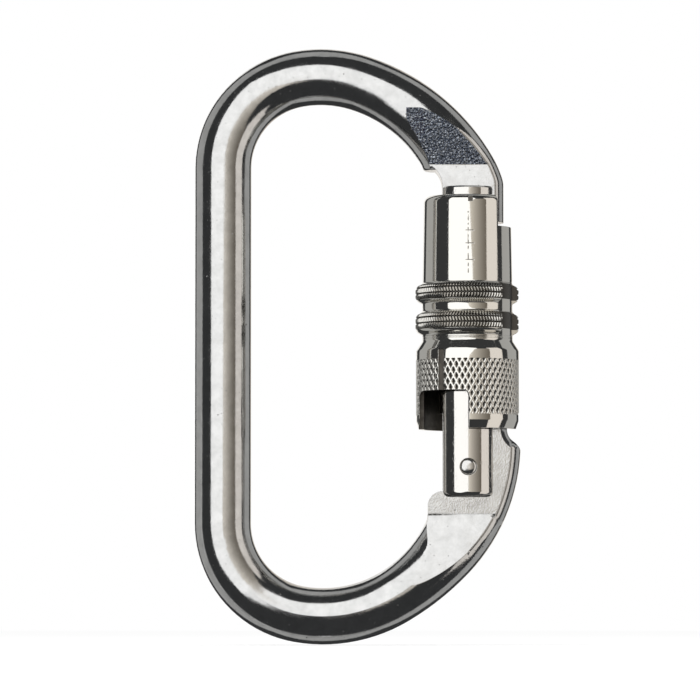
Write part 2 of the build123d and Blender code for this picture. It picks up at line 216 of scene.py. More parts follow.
# The tongue's inner edge is trimmed square, from its rounded corner down to where that runs out.
inner_path = outline_path(INNER_X, SPINE_BOTTOM, -math.pi / 2, 1, BOTTOM_INNER_BENDS, CORNER_FOOT)
inner_path = [p for p in inner_path if p[0].x > 10]
inner_edge = [point for point, _ in inner_path] + [
    CORNER_CENTRE + CORNER_RADIUS * Vector((-math.cos(math.radians(turn)), math.sin(math.radians(turn))))
    for turn in range(8, 80, 6)
]
# The round gets a row of points at every level, and each point then moves out to the square edge.
for i in range(1 + int((SQUARE_TOP - SQUARE_FOOT) / SQUARE_STEP)):
    near = [f for f in bm.faces if abs(f.normal.y) < 0.95 and all(on_inner_round(v.co) for v in f.verts)]
    cut = near + list({e for f in near for e in f.edges}) + list({v for f in near for v in f.verts})
    level = SQUARE_FOOT + SQUARE_STEP * i
    bmesh.ops.bisect_plane(bm, geom=cut, dist=0.02, plane_co=(0, 0, level), plane_no=(0, 0, 1))
for vertex in bm.verts:
    x, y, z = vertex.co
    if on_inner_round(vertex.co) and z > SQUARE_FOOT:
        share = min(1, (z - SQUARE_FOOT) / (SQUARE_FULL - SQUARE_FOOT))
        vertex.co.x += (square_edge_x(z) - x) * share**2 * (3 - 2 * share)
bmesh.ops.triangulate(bm, faces=[f for f in bm.faces if len(f.verts) > 3])
bm.to_mesh(forging)
bm.free()
# The rims run along the outer edge, beside the pressed flats only.
nose_path = outline_path(OUTER_X, SPINE_TOP, math.pi / 2, -1, TOP_BENDS, BLADE_END)
nose_path = [p for p in nose_path if p[0].x > 10 and p[0].y < 0.5]
tongue_path = outline_path(OUTER_X, SPINE_BOTTOM, -math.pi / 2, 1, BOTTOM_BENDS, NECK_RIM_END)
tongue_path = [p for p in tongue_path if p[0].x > 5 and p[0].y > -88]
forging = milled(forging, [
    rim_cutter(path, half, radius, side)
    for path, half, radius in ((nose_path, nose_half, NOSE_RIM), (tongue_path, tongue_half, TONGUE_RIM))
    for side in (-1, 1)
])
forging.transform(Matrix.Scale(0.001, 4))
forging.polygons.foreach_set("use_smooth", [True] * len(forging.polygons))
forging.set_sharp_from_angle(angle=math.radians(24))
# The outline of each pressed flat is crisp, also where it fades into the round of the bar.
pressed = []
for face in forging.polygons:
    x, y, z = face.center * 1000
    half = nose_half(z) if z > -30 and x > 12 else tongue_half(z) if z < -55 and x > 5 else 0
    pressed.append(half < BAR_RADIUS and abs(abs(y) - half) < 0.02)
beside = {}
for face in forging.polygons:
    for key in face.edge_keys:
        beside.setdefault(key, set()).add(pressed[face.index])
for edge in forging.edges:
    if len(beside[edge.key]) == 2:
        edge.use_edge_sharp = True
pressed_frame = bpy.data.objects.new("pressed_frame", forging)
scene.collection.objects.link(pressed_frame)
even = pressed_frame.modifiers.new("even_normals", "WEIGHTED_NORMAL")
even.keep_sharp = True
even.weight = 60
even.mode = "FACE_AREA_WITH_ANGLE"


def linear(colour):
    """An sRGB hex colour as the linear one that Blender mixes."""
    parts = [int(colour[i:i + 2], 16) / 255 for i in (1, 3, 5)]
    return tuple(c / 12.92 if c <= 0.04045 else ((c + 0.055) / 1.055) ** 2.4 for c in parts) + (1.0,)


def node(tree, kind, *inputs, **more):
    """Add a node. Its inputs are values, sockets or other nodes, in their order or by their names.

    Names in lower case are its settings. A node that feeds another one does so by its first output.
    """
    made = tree.nodes.new("ShaderNode" + kind)
    for key, value in more.items():
        if key.islower():
            setattr(made, key, value)
    fed = list(zip([socket for socket in made.inputs if socket.enabled], inputs))
    fed += [(made.inputs[key.replace("_", " ")], value) for key, value in more.items() if not key.islower()]
    for socket, value in fed:
        if isinstance(value, bpy.types.Node):
            value = next(output for output in value.outputs if output.enabled)
        if isinstance(value, bpy.types.NodeSocket):
            tree.links.new(value, socket)
        else:
            socket.default_value = value
    return made


def bare_material(name):
    """An empty material, its node tree and the place on the piece, in metres."""
    made = bpy.data.materials.new(name)
    made.use_nodes = True
    made.node_tree.nodes.clear()
    return made, made.node_tree, node(made.node_tree, "TexCoord").outputs["Object"]


def pits(tree, where, cell, radius):
    """Sparse round pits, 1 in the middle and 0 outside. There is one in each cell of so many millimetres."""
    spots = node(tree, "TexVoronoi", Vector=where, Scale=1000 / cell)
    size = node(tree, "SeparateColor", spots.outputs["Color"])
    reach = node(tree, "Math", size, radius / cell, operation="MULTIPLY")
    depth = node(tree, "Math", reach, spots, operation="SUBTRACT")
    return node(tree, "Math", depth, radius / cell / 2, operation="DIVIDE", use_clamp=True)


def hairlines(tree, where, turn, length, width, amount):
    """Fine straight scratches in one direction: long thin noise, cut off so that few are left."""
    turned = node(tree, "Mapping", vector_type="TEXTURE", Vector=where, Rotation=turn)
    drawn = node(tree, "VectorMath", turned, (1, 1, width / length), operation="MULTIPLY")
    line = node(tree, "TexNoise", Vector=drawn, Scale=1000 / (width * 4), Detail=0.0)
    return node(tree, "MapRange", line, amount, amount + 0.05)


def bumps(tree, normal, *layers):
    """Bumps laid one on another.

    A layer is a height from 0 to 1 and its depth in millimetres, which is below zero for a hollow.
    """
    for height, depth in layers:
        if depth < 0:
            height = node(tree, "Math", 1.0, height, operation="SUBTRACT")
        normal = node(tree, "Bump", Height=height, Distance=abs(depth) / 1000, Normal=normal)
    return normal


def relief(tree, edge_radius, *layers):
    """Edges broken by so many millimetres, with bumps laid over the whole."""
    return bumps(tree, node(tree, "Bevel", samples=6, Radius=edge_radius / 1000), *layers)


def metal(tree, tint, roughness, normal):
    """The metal itself."""
    shader = node(tree, "BsdfPrincipled", Base_Color=tint, Metallic=1.0, Roughness=roughness, Normal=normal)
    node(tree, "OutputMaterial", Surface=shader)


# Zinc plated and tumbled steel: nearly a mirror. Forging has left it a little uneven, so that
# reflections waver, with pits where scale was pressed in, and other gear has left hairlines.
tumbled_steel, tree, where = bare_material("tumbled_zinc_plated_steel")
swell = node(tree, "TexNoise", Vector=where, Scale=1000 / 6.0, Detail=1)
peel = node(tree, "TexNoise", Vector=where, Scale=1000 / 0.50, Detail=2)
grit = node(tree, "TexNoise", Vector=where, Scale=1000 / 0.22, Detail=2, Roughness=0.6)
dents = node(tree, "Math", pits(tree, where, 2.2, 0.20), pits(tree, where, 0.8, 0.085), operation="MAXIMUM")
lines = node(
    tree, "Math", hairlines(tree, where, (0.9, 0.3, 0.5), 6.0, 0.03, 0.70),
    hairlines(tree, where, (0.2, 1.3, 2.1), 4.0, 0.03, 0.71), operation="MAXIMUM",
)
axes = node(tree, "SeparateXYZ", where)
x, y, z = (node(tree, "Math", output, 1000.0, operation="MULTIPLY") for output in axes.outputs)
half = node(tree, "Math", y, operation="ABSOLUTE")
# The nose's ramps are pressed and not tumbled: coarse grains that glint, with dark skin between them.
ramp_half = node(tree, "Math", z, NOSE_RAMP_TOP, operation="SUBTRACT")
ramp_half = node(tree, "Math", ramp_half, NOSE_RAMP_SLOPE, BAR_RADIUS, operation="MULTIPLY_ADD")
ramp = node(tree, "Math", half, ramp_half, 0.05, operation="COMPARE")
for place, edge, test in (
    (z, NOSE_RAMP_TOP, "LESS_THAN"), (z, NOSE_RAMP_FOOT, "GREATER_THAN"), (x, 15.0, "GREATER_THAN"),
):
    ramp = node(tree, "Math", ramp, node(tree, "Math", place, edge, operation=test), operation="MULTIPLY")
grains = node(tree, "TexVoronoi", Vector=where, Scale=1000 / 0.42)
coarse = node(tree, "TexNoise", Vector=where, Scale=1000 / 0.30, Detail=2, Roughness=0.6)
skin = node(tree, "Math", ramp, node(tree, "Math", grains, coarse, operation="ADD"), operation="MULTIPLY")
skin_tint = node(tree, "MapRange", coarse, 0.48, 0.64)
skin_tint = node(tree, "Mix", skin_tint, linear("#4C525E"), linear("#AEB4BC"), data_type="RGBA")
# The flat of the tongue is milled: finely dotted.
dots = node(tree, "TexNoise", Vector=where, Scale=1000 / 0.28, Detail=2, Roughness=0.6)
on_flat = node(tree, "Math", half, FLAT_HALF, 0.03, operation="COMPARE")
for share in (on_flat, node(tree, "Math", z, -55.0, operation="LESS_THAN")):
    dots = node(tree, "Math", dots, share, operation="MULTIPLY")
# The corner of the tongue's step is darker, in patches and most at the inner end.
corner = node(tree, "Math", node(tree, "Math", z, STEP_Z, operation="SUBTRACT"), operation="ABSOLUTE")
corner = node(tree, "MapRange", corner, 0.20, 0.08)
patches = node(tree, "TexNoise", Vector=where, Scale=1000 / 0.6, Detail=2)
for share in (
    node(tree, "MapRange", x, 24.5, 20.5),
    node(tree, "Math", x, 10.0, operation="GREATER_THAN"),
    node(tree, "MapRange", patches, 0.30, 0.45),
    node(tree, "Math", half, FLAT_HALF + 0.6, operation="LESS_THAN"),
):
    corner = node(tree, "Math", corner, share, operation="MULTIPLY")
dents = node(tree, "Math", dents, corner, operation="MAXIMUM")
clouds = node(tree, "TexNoise", Vector=where, Scale=1000 / 2.0, Detail=3, Roughness=0.6)
clouds = node(tree, "MapRange", clouds, 0.35, 0.7)
tint = node(tree, "Mix", clouds, linear("#CACAC9"), linear("#BDBDBC"), data_type="RGBA")
tint = node(tree, "Mix", dents, tint, linear("#4A4845"), data_type="RGBA")
tint = node(tree, "Mix", ramp, tint, skin_tint, data_type="RGBA")
haze = node(tree, "TexNoise", Vector=where, Scale=1000 / 3.0, Detail=1)
haze = node(tree, "MapRange", haze, 0.35, 0.65, 0.08, 0.14)
dulled = node(
    tree, "Math", node(tree, "Math", ramp, 0.16, operation="MULTIPLY"),
    node(tree, "Math", dents, 0.4, operation="MULTIPLY"), operation="MAXIMUM",
)
metal(tree, tint, node(tree, "Math", haze, dulled, operation="ADD"), relief(
    tree, 0.15, (swell, 0.030), (peel, 0.0055), (grit, 0.0022), (dents, -0.04), (lines, -0.001),
    (skin, 0.16), (dots, 0.030),
))
forging.materials.clear()
forging.materials.append(tumbled_steel)
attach(pressed_frame, "frame")
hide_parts("body")

# ---------------------------------------------------------------------------------------------
# Locking sleeve. Turned from bar in one piece with two knurled beads and a knurled collar, then
# milled: a cut-away, a flat, a window, a slot and a release slot. It is plated bright, and the
# turning has left fine rings on every smooth surface.

# It is made about its own axis. Angles are from the front, and positive towards the outside.
AXIS_X = 25.9
SLEEVE_TOP, SLEEVE_BOTTOM = -16.4, -57.9
TUBE_TOP_RADIUS, TUBE_FOOT_RADIUS, TUBE_ROUNDING = 7.72, 8.0, 1.2
WAIST_RADIUS, COLLAR_RADIUS = 8.05, 9.15
GUIDE_RADIUS, CAVITY_RADIUS, SKIRT_RADIUS = 5.63, 6.7, 7.75
CAVITY_TOP, CAVITY_FLOOR, SKIRT_ROOF = -24.0, -45.63, -50.6
BEAD_RADIUS, BEAD_ROUNDING = 9.25, 1.15
BEADS = [(-33.8, 3.25, -33.4), (-39.1, 3.75, -38.65)]      # centre, height, middle of the knurl
BEAD_ROW, BEAD_KNURL_HALF = 1.0, 1.5
BEAD_ROOT = [(0.40, 0), (0.27, 0.03), (0.15, 0.10), (0.05, 0.22)]      # a fillet: up, out
GROOVES, GROOVE_HALF, GROOVE_DEPTH = (-41.35, -41.65, -41.9), 0.06, 0.05
DIAMONDS = 52
COLUMNS = 8 * DIAMONDS
DIAMOND_HEIGHT = 2.02
KNURL_TOP, KNURL_ROWS, KNURL_DEPTH = -45.75, 38, 0.34
KNURL_BOTTOM = KNURL_TOP - KNURL_ROWS * DIAMOND_HEIGHT / 8
WINDOW_LEFT, WINDOW_RIGHT, WINDOW_TOP, WINDOW_CORNER = -8.6, 0.1, -51.2, 1.0
SLOT_LEFT, SLOT_RIGHT, SLOT_TOP, SLOT_FLOOR = -5.3, -4.35, -43.9, -7.0
CUT_AWAY_TURNS, CUT_AWAY_FOOT = (43, 220), -22.0
BEAD_FLAT_TURNS, BEAD_FLAT_RADIUS, BEAD_FLAT_TOP, BEAD_FLAT_FOOT = (41, 95), 7.95, -31.5, -41.4
RELEASE_TURNS, RELEASE_TOP = (80, 210), -55.0
LOBE_Y, LOBE_CORNER = -4.0, 4.5
PIN_GROOVE_TURNS, PIN_GROOVE_RADIUS, PIN_GROOVE_TOP, PIN_GROOVE_FOOT = (170, 280), 6.55, -47.6, -49.4
MARK_TOP, MARK_SIZE, MARK_FLOOR = -17.0, 0.8, -7.42
OUTSIDE, OVER, UNDER = 10.2, -15.0, -59.0          # clear of the sleeve's skin and of its ends


def collar_pit(column, row):
    """Depth of the diamond knurl: four-sided pits between raised lines that cross."""
    s = (column + row) / 8 % 1 - 0.5
    t = (column - row) / 8 % 1 - 0.5
    return KNURL_DEPTH * max(0.0, 1 - max(abs(s), abs(t)) / 0.375)


def bead_tooth(column, rows):
    """Depth of a bead's fine knurl: teeth in three rows, with a groove between rows."""
    across = abs(rows - round(rows))
    along = abs(column / 4 % 1 - 0.5)
    return max(2.0 * max(0.0, across - 0.34), 0.30 * (1 - 2 * along))


def bead_rings(centre, height, knurl, above):
    """The rings of one bead, with a fillet at each root. Its knurl stops before the lower flank."""
    rings = [(centre + height / 2 + up, above + out, None, 0) for up, out in BEAD_ROOT]
    knurled = [row + part for row in (1, 0, -1) for part in (0.5, 0.36, 0.18, 0, -0.18, -0.36)]
    smooth = [-BEAD_KNURL_HALF - part for part in (0.06, 0.25, 0.45, 0.6)]
    for rows in knurled + [-BEAD_KNURL_HALF] + smooth:
        z = knurl + rows * BEAD_ROW
        over = max(0.0, abs(z - centre) - (height / 2 - BEAD_ROUNDING))
        if over >= BEAD_ROUNDING:
            continue
        radius = BEAD_RADIUS - BEAD_ROUNDING + math.sqrt(BEAD_ROUNDING**2 - over**2)
        if rows >= -BEAD_KNURL_HALF:
            twist = 1 - 2 * abs((rows + BEAD_KNURL_HALF) % 2 - 1)
            rings.append((z, radius, lambda column, rows=rows: bead_tooth(column, rows), twist))
        else:
            rings.append((z, radius, None, 0))
    rings += [(centre - height / 2 - up, WAIST_RADIUS + out, None, 0) for up, out in reversed(BEAD_ROOT)]
    return rings


def turned_rings():
    """The outside from the top down, then the inside back up: height, radius, depth, twist."""
    rings = []
    for degrees in range(90, -1, -15):
        turn = math.radians(degrees)
        z = SLEEVE_TOP - TUBE_ROUNDING + TUBE_ROUNDING * math.sin(turn)
        rings.append((z, TUBE_TOP_RADIUS - TUBE_ROUNDING + TUBE_ROUNDING * math.cos(turn), None, 0))
    rings += bead_rings(*BEADS[0], above=TUBE_FOOT_RADIUS - 0.02) + bead_rings(*BEADS[1], above=WAIST_RADIUS)
    for groove in GROOVES:
        for up, depth in ((GROOVE_HALF, 0), (0, GROOVE_DEPTH), (-GROOVE_HALF, 0)):
            rings.append((groove + up, WAIST_RADIUS - depth, None, 0))
    rings += [(z, radius, None, 0) for z, radius in (
        (-42.1, WAIST_RADIUS), (-42.4, WAIST_RADIUS + 0.1), (-43.75, COLLAR_RADIUS - 0.12),
        (-44.1, COLLAR_RADIUS), (KNURL_TOP + 0.12, COLLAR_RADIUS),
    )]
    for row in range(KNURL_ROWS + 1):
        z = KNURL_TOP - row * DIAMOND_HEIGHT / 8
        rings.append((z, COLLAR_RADIUS, lambda column, row=row: collar_pit(column, row), 0))
    rings += [(z, radius, None, 0) for z, radius in (
        (KNURL_BOTTOM - 0.12, COLLAR_RADIUS), (-56.4, COLLAR_RADIUS), (-56.6, COLLAR_RADIUS - 0.03),
        (SLEEVE_BOTTOM, COLLAR_RADIUS - 0.5), (SLEEVE_BOTTOM, SKIRT_RADIUS), (SKIRT_ROOF, SKIRT_RADIUS),
        (SKIRT_ROOF, GUIDE_RADIUS), (CAVITY_FLOOR, GUIDE_RADIUS), (CAVITY_FLOOR, CAVITY_RADIUS),
        (CAVITY_TOP, CAVITY_RADIUS), (CAVITY_TOP, GUIDE_RADIUS), (SLEEVE_TOP, GUIDE_RADIUS),
    )]
    return rings


def turned_blank(rings):
    """The rings joined into one closed skin. Each face is split so that ridges stay straight."""
    bm = bmesh.new()
    loops = []
    for height, radius, depth, twist in rings:
        loop = []
        for column in range(COLUMNS):
            turn = 2 * math.pi * (column + twist) / COLUMNS
            r = radius - (depth(column) if depth else 0.0)
            loop.append((bm.verts.new((r * math.sin(turn), -r * math.cos(turn), height)), r))
        loops.append(loop)
    for upper, lower in zip(loops, loops[1:] + loops[:1]):
        for column in range(COLUMNS):
            after = (column + 1) % COLUMNS
            (a, ra), (b, rb), (c, rc), (d, rd) = upper[column], lower[column], lower[after], upper[after]
            if abs(ra - rc) < abs(rb - rd):
                bm.faces.new((a, b, c))
                bm.faces.new((a, c, d))
            else:
                bm.faces.new((a, b, d))
                bm.faces.new((b, c, d))
    mesh = bpy.data.meshes.new("blank")
    bm.to_mesh(mesh)
    bm.free()
    return mesh


def block(outline, axis, start, end):
    """A cutter: a flat outline carried along X, Y or Z from start to end."""
    place = {"X": lambda p, q, d: (d, p, q), "Y": lambda p, q, d: (p, d, q), "Z": lambda p, q, d: (p, q, d)}
    sections = [[place[axis](p, q, d) for p, q in outline] for d in (start, end)]
    return closed_cutter(sections, flat_sides=True)


def arc(centre, radius, start, end, steps):
    """Points of an arc. Its angles are in degrees."""
    turns = [math.radians(start + (end - start) * i / steps) for i in range(steps + 1)]
    return [(centre[0] + radius * math.cos(t), centre[1] + radius * math.sin(t)) for t in turns]


def sector(inner, outer, turns, bottom, top):
    """A cutter like a slice of a pipe."""
    start, end = turns
    steps = round((end - start) / 1.5)
    outline = arc((0, 0), outer, start - 90, end - 90, steps)
    outline += arc((0, 0), inner, end - 90, start - 90, steps)
    return block(outline, "Z", bottom, top)


window = [(WINDOW_LEFT, UNDER), (WINDOW_RIGHT, UNDER)]
window += arc((WINDOW_RIGHT - WINDOW_CORNER, WINDOW_TOP - WINDOW_CORNER), WINDOW_CORNER, 0, 90, 8)
window += arc((WINDOW_LEFT + WINDOW_CORNER, WINDOW_TOP - WINDOW_CORNER), WINDOW_CORNER, 90, 180, 8)
slot_foot = WINDOW_TOP - 0.8
slot = [(SLOT_LEFT, slot_foot), (SLOT_RIGHT, slot_foot), (SLOT_RIGHT, SLOT_TOP), (SLOT_LEFT, SLOT_TOP)]
mark_foot = MARK_TOP - MARK_SIZE
mark = [(0, mark_foot), (MARK_SIZE, mark_foot), (MARK_SIZE, MARK_TOP), (0, MARK_TOP)]
lobe_y, lobe_z = LOBE_Y + LOBE_CORNER, SLEEVE_BOTTOM + LOBE_CORNER
lobe_corner = arc((lobe_y, lobe_z), LOBE_CORNER, 180, 270, 24)
lobe_corner += [(lobe_y, UNDER), (LOBE_Y - 1.5, UNDER), (LOBE_Y - 1.5, lobe_z)]
mesh = milled(turned_blank(turned_rings()), [
    # The cut-away at the top lets the blade out.
    sector(4.5, OUTSIDE, CUT_AWAY_TURNS, CUT_AWAY_FOOT, OVER),
    # The beads have a flat on their outer side.
    sector(BEAD_FLAT_RADIUS, OUTSIDE, BEAD_FLAT_TURNS, BEAD_FLAT_FOOT, BEAD_FLAT_TOP),
    # The window shows the gate, and a narrow slot runs up from it into the knurl.
    block(window, "Y", -OUTSIDE, 0),
    block(slot, "Y", -OUTSIDE, SLOT_FLOOR),
    # The release slot passes over the neck when the sleeve is turned.
    sector(6.0, OUTSIDE, RELEASE_TURNS, UNDER, RELEASE_TOP),
    # The inner lobe's front corner is cut round.
    block(lobe_corner, "X", -OUTSIDE, -1.0),
    # The stop pin runs in a groove inside.
    sector(5.5, PIN_GROOVE_RADIUS, PIN_GROOVE_TURNS, PIN_GROOVE_FOOT, PIN_GROOVE_TOP),
    # A punched square marks the locked position.
    block(mark, "Y", -9, MARK_FLOOR),
])
mesh.transform(Matrix.Translation((AXIS_X / 1000, 0, 0)) @ Matrix.Scale(0.001, 4))
mesh.polygons.foreach_set("use_smooth", [True] * len(mesh.polygons))
# The knurl's ridges are worn round, so only its deep creases stay sharp.
mesh.set_sharp_from_angle(angle=math.radians(60))
creases = [edge.use_edge_sharp for edge in mesh.edges]
mesh.set_sharp_from_angle(angle=math.radians(26))
for edge, crease in zip(mesh.edges, creases):
    heights = [mesh.vertices[i].co.z * 1000 for i in edge.vertices]
    if max(heights) < KNURL_TOP + 0.01 and min(heights) > KNURL_BOTTOM - 0.01:
        edge.use_edge_sharp = crease
sleeve = bpy.data.objects.new("knurled_locking_sleeve", mesh)
scene.collection.objects.link(sleeve)

# Turned steel: brighter than the frame, with fine rings round the axis and hairlines from handling.
turned_steel, tree, where = bare_material("turned_and_knurled_steel")
axes = node(tree, "SeparateXYZ", where)
x, y, z = (node(tree, "Math", output, 1000.0, operation="MULTIPLY") for output in axes.outputs)
aside = node(tree, "Math", x, AXIS_X, operation="SUBTRACT")
rings = node(tree, "CombineXYZ", Z=axes.outputs["Z"])
rings = node(tree, "TexNoise", Vector=rings, Scale=1000 / 0.09, Detail=3, Roughness=0.7)
lines = hairlines(tree, where, (0.3, 0.8, 0.2), 7.0, 0.03, 0.72)
# Something hard has scored the front of the tube: a dotted line down it, with three nicks across it.
score = node(tree, "MapRange", node(tree, "Math", aside, operation="ABSOLUTE"), 0.12, 0.04)
gaps = node(tree, "TexNoise", Vector=where, Scale=1000 / 0.7, Detail=2)
for share in (node(tree, "MapRange", gaps, 0.42, 0.55), node(tree, "Math", z, -19.6, operation="LESS_THAN")):
    score = node(tree, "Math", score, share, operation="MULTIPLY")
reach = node(tree, "Math", node(tree, "Math", aside, 0.25, operation="SUBTRACT"), operation="ABSOLUTE")
reach = node(tree, "MapRange", reach, 0.9, 0.6)
for nick_z in (-22.96, -25.25, -28.2):
    nick = node(tree, "Math", node(tree, "Math", z, nick_z, operation="SUBTRACT"), operation="ABSOLUTE")
    nick = node(tree, "Math", node(tree, "MapRange", nick, 0.10, 0.03), reach, operation="MULTIPLY")
    score = node(tree, "Math", score, nick, operation="MAXIMUM")
on_tube = node(tree, "Math", z, -30.5, operation="GREATER_THAN")
in_front = node(tree, "Math", y, -5.0, operation="LESS_THAN")
for share in (on_tube, in_front, 0.8):
    score = node(tree, "Math", score, share, operation="MULTIPLY")
specks = node(tree, "Math", pits(tree, where, 1.6, 0.10), score, operation="MAXIMUM")
# Darker in the bottom of the knurls by depth below the collar and the beads' rounding: grime and painted
# shade.
radius = node(tree, "VectorMath", node(tree, "CombineXYZ", X=aside, Y=y), operation="LENGTH")
knurls = [((KNURL_TOP + KNURL_BOTTOM) / 2, 20, COLLAR_RADIUS, KNURL_TOP, KNURL_BOTTOM, 0.20)]
knurls += [
    (centre, height / 2 - BEAD_ROUNDING, BEAD_RADIUS, knurl + BEAD_KNURL_HALF, knurl - BEAD_KNURL_HALF, 0.26)
    for centre, height, knurl in BEADS
]
for centre, flat, full, top, bottom, deep in knurls:
    over = node(tree, "Math", node(tree, "Math", z, centre, operation="SUBTRACT"), operation="ABSOLUTE")
    over = node(tree, "Math", node(tree, "Math", over, flat, operation="SUBTRACT"), 0.0, operation="MAXIMUM")
    fall = node(tree, "Math", over, over, operation="MULTIPLY")
    crown = node(tree, "Math", BEAD_ROUNDING**2, fall, operation="SUBTRACT")
    crown = node(tree, "Math", node(tree, "Math", crown, 0.0, operation="MAXIMUM"), operation="SQRT")
    crown = node(tree, "Math", crown, full - BEAD_ROUNDING, operation="ADD")
    below = node(tree, "Math", crown, radius, operation="SUBTRACT")
    grime_and_painted_shade = node(tree, "MapRange", below, 0.07, deep, 0.0, 0.95)
    for edge, test in ((top, "LESS_THAN"), (bottom, "GREATER_THAN")):
        grime_and_painted_shade = node(tree, "Math", grime_and_painted_shade, node(tree, "Math", z, edge, operation=test), operation="MULTIPLY")
    specks = node(tree, "Math", specks, grime_and_painted_shade, operation="MAXIMUM")
# The specks, the scores, and the knurls' grime and painted shade darken the tint.
tint = node(tree, "Mix", specks, linear("#DAD8D2"), linear("#45423E"), data_type="RGBA")
haze = node(tree, "TexNoise", Vector=where, Scale=1000 / 2.5, Detail=1)
haze = node(tree, "MapRange", haze, 0.35, 0.65, 0.05, 0.09)
roughness = node(tree, "Math", specks, 0.3, haze, operation="MULTIPLY_ADD")
swell = node(tree, "TexNoise", Vector=where, Scale=1000 / 5.0, Detail=1)
peel = node(tree, "TexNoise", Vector=where, Scale=1000 / 0.5, Detail=2)
metal(tree, tint, roughness, relief(
    tree, 0.10, (swell, 0.012), (rings, 0.0006), (peel, 0.0012), (specks, -0.02), (lines, -0.0008),
))
mesh.materials.clear()
mesh.materials.append(turned_steel)

# Inside the bore, in the slot, the punched mark and on the window's stop face, a darker metal is painted
# shade.
bore_shade_steel, tree, where = bare_material("dark_bore_steel_painted_shade")
film = node(tree, "TexNoise", Vector=where, Scale=1000 / 1.2, Detail=3, Roughness=0.6)
tint = node(tree, "Mix", film, linear("#6E6A64"), linear("#4C4945"), data_type="RGBA")
metal(tree, tint, node(tree, "MapRange", film, 0.3, 0.7, 0.35, 0.55), relief(tree, 0.08, (film, 0.01)))
mesh.materials.append(bore_shade_steel)
# These faces take the darker metal as painted shade for the shadow in their hollows.
for face in mesh.polygons:
    x, y, z = face.center * 1000 - Vector((AXIS_X, 0, 0))
    out = math.hypot(x, y)
    bore = out < SKIRT_RADIUS + 0.02 and z < -46 or out < CAVITY_RADIUS + 0.02
    punched = 0 <= x <= MARK_SIZE and mark_foot <= z <= MARK_TOP and y < 0 and out < TUBE_TOP_RADIUS - 0.03
    window_stop = abs(y) < 0.02 and x < 0 and z < WINDOW_TOP and abs(face.normal.y) > 0.9
    in_slot = SLOT_LEFT - 0.04 < x < SLOT_RIGHT + 0.04 and WINDOW_TOP < z < SLOT_TOP + 0.02 and y < 0
    in_painted_shade = bore or punched or window_stop or in_slot and out < COLLAR_RADIUS - 0.04
    face.material_index = 1 if in_painted_shade else 0
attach(sleeve, "sleeve")
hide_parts("locking_sleeve")

# ---------------------------------------------------------------------------------------------
# Gate. A drawn bar, polished lengthwise and plated. The drawing left faint lines along it, and the
# frame and the sleeve have marked it with a few short scratches.

drawn_steel, tree, where = bare_material("drawn_and_polished_steel")
draws = node(tree, "VectorMath", where, (1, 1, 0.02), operation="MULTIPLY")
draws = node(tree, "TexNoise", Vector=draws, Scale=1000 / 0.16, Detail=2)
specks = pits(tree, where, 1.4, 0.10)
scratches = hairlines(tree, where, (0.0, 0.5, 0.0), 3.0, 0.05, 0.70)
tint = node(tree, "Mix", specks, linear("#D6D4D0"), linear("#4E4C48"), data_type="RGBA")
haze = node(tree, "TexNoise", Vector=where, Scale=1000 / 2.0, Detail=1)
haze = node(tree, "MapRange", haze, 0.35, 0.65, 0.05, 0.10)
roughness = node(tree, "Math", specks, 0.3, haze, operation="MULTIPLY_ADD")
swell = node(tree, "TexNoise", Vector=where, Scale=1000 / 5.0, Detail=1)
metal(tree, tint, roughness, relief(
    tree, 0.12, (swell, 0.016), (draws, 0.0010), (specks, -0.02), (scratches, -0.003),
))
for part_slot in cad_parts["gate"].material_slots:
    part_slot.material = drawn_steel

# ---------------------------------------------------------------------------------------------
# Hinge rivet and inner pins. The rivet's heads are upset cold and buffed, which leaves each crown
# nearly flat and bright, with a dark rim. The pins and the washer are ground, with fine marks.

buffed_steel, tree, where = bare_material("upset_and_buffed_steel")
specks = pits(tree, where, 0.9, 0.08)
tint = node(tree, "Mix", specks, linear("#CBCAC8"), linear("#4B4946"), data_type="RGBA")
haze = node(tree, "TexNoise", Vector=where, Scale=1000 / 1.0, Detail=2)
haze = node(tree, "MapRange", haze, 0.3, 0.7, 0.10, 0.20)
crown = node(tree, "Bevel", samples=6, Radius=0.00010)
crown = node(tree, "VectorMath", crown, (1, 2, 1), operation="MULTIPLY")
crown = node(tree, "VectorMath", crown, operation="NORMALIZE")
dimples = node(tree, "TexNoise", Vector=where, Scale=1000 / 1.2, Detail=2)
metal(tree, tint, haze, bumps(tree, crown, (dimples, 0.012), (specks, -0.02)))
for part_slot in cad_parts["hinge_rivet"].material_slots:
    part_slot.material = buffed_steel

# Ground steel: even and a little dull, with marks that run round each pin.
ground_steel, tree, where = bare_material("ground_pin_steel")
marks = node(tree, "VectorMath", where, (0.1, 1, 0.1), operation="MULTIPLY")
marks = node(tree, "TexNoise", Vector=marks, Scale=1000 / 0.08, Detail=2)
film = node(tree, "TexNoise", Vector=where, Scale=1000 / 0.8, Detail=1)
tint = node(tree, "Mix", film, linear("#B4B3B2"), linear("#9C9B9A"), data_type="RGBA")
metal(tree, tint, node(tree, "MapRange", marks, 0.3, 0.7, 0.16, 0.26), relief(tree, 0.08, (marks, 0.002)))
for name in ("latch_pin", "gate_plunger", "sleeve_stop_pin", "spring_seat"):
    for part_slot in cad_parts[name].material_slots:
        part_slot.material = ground_steel

# ---------------------------------------------------------------------------------------------
# Springs. Hard-drawn wire, left bare and oiled: darker and greyer than the plated parts, and uneven
# where the oil has dried.

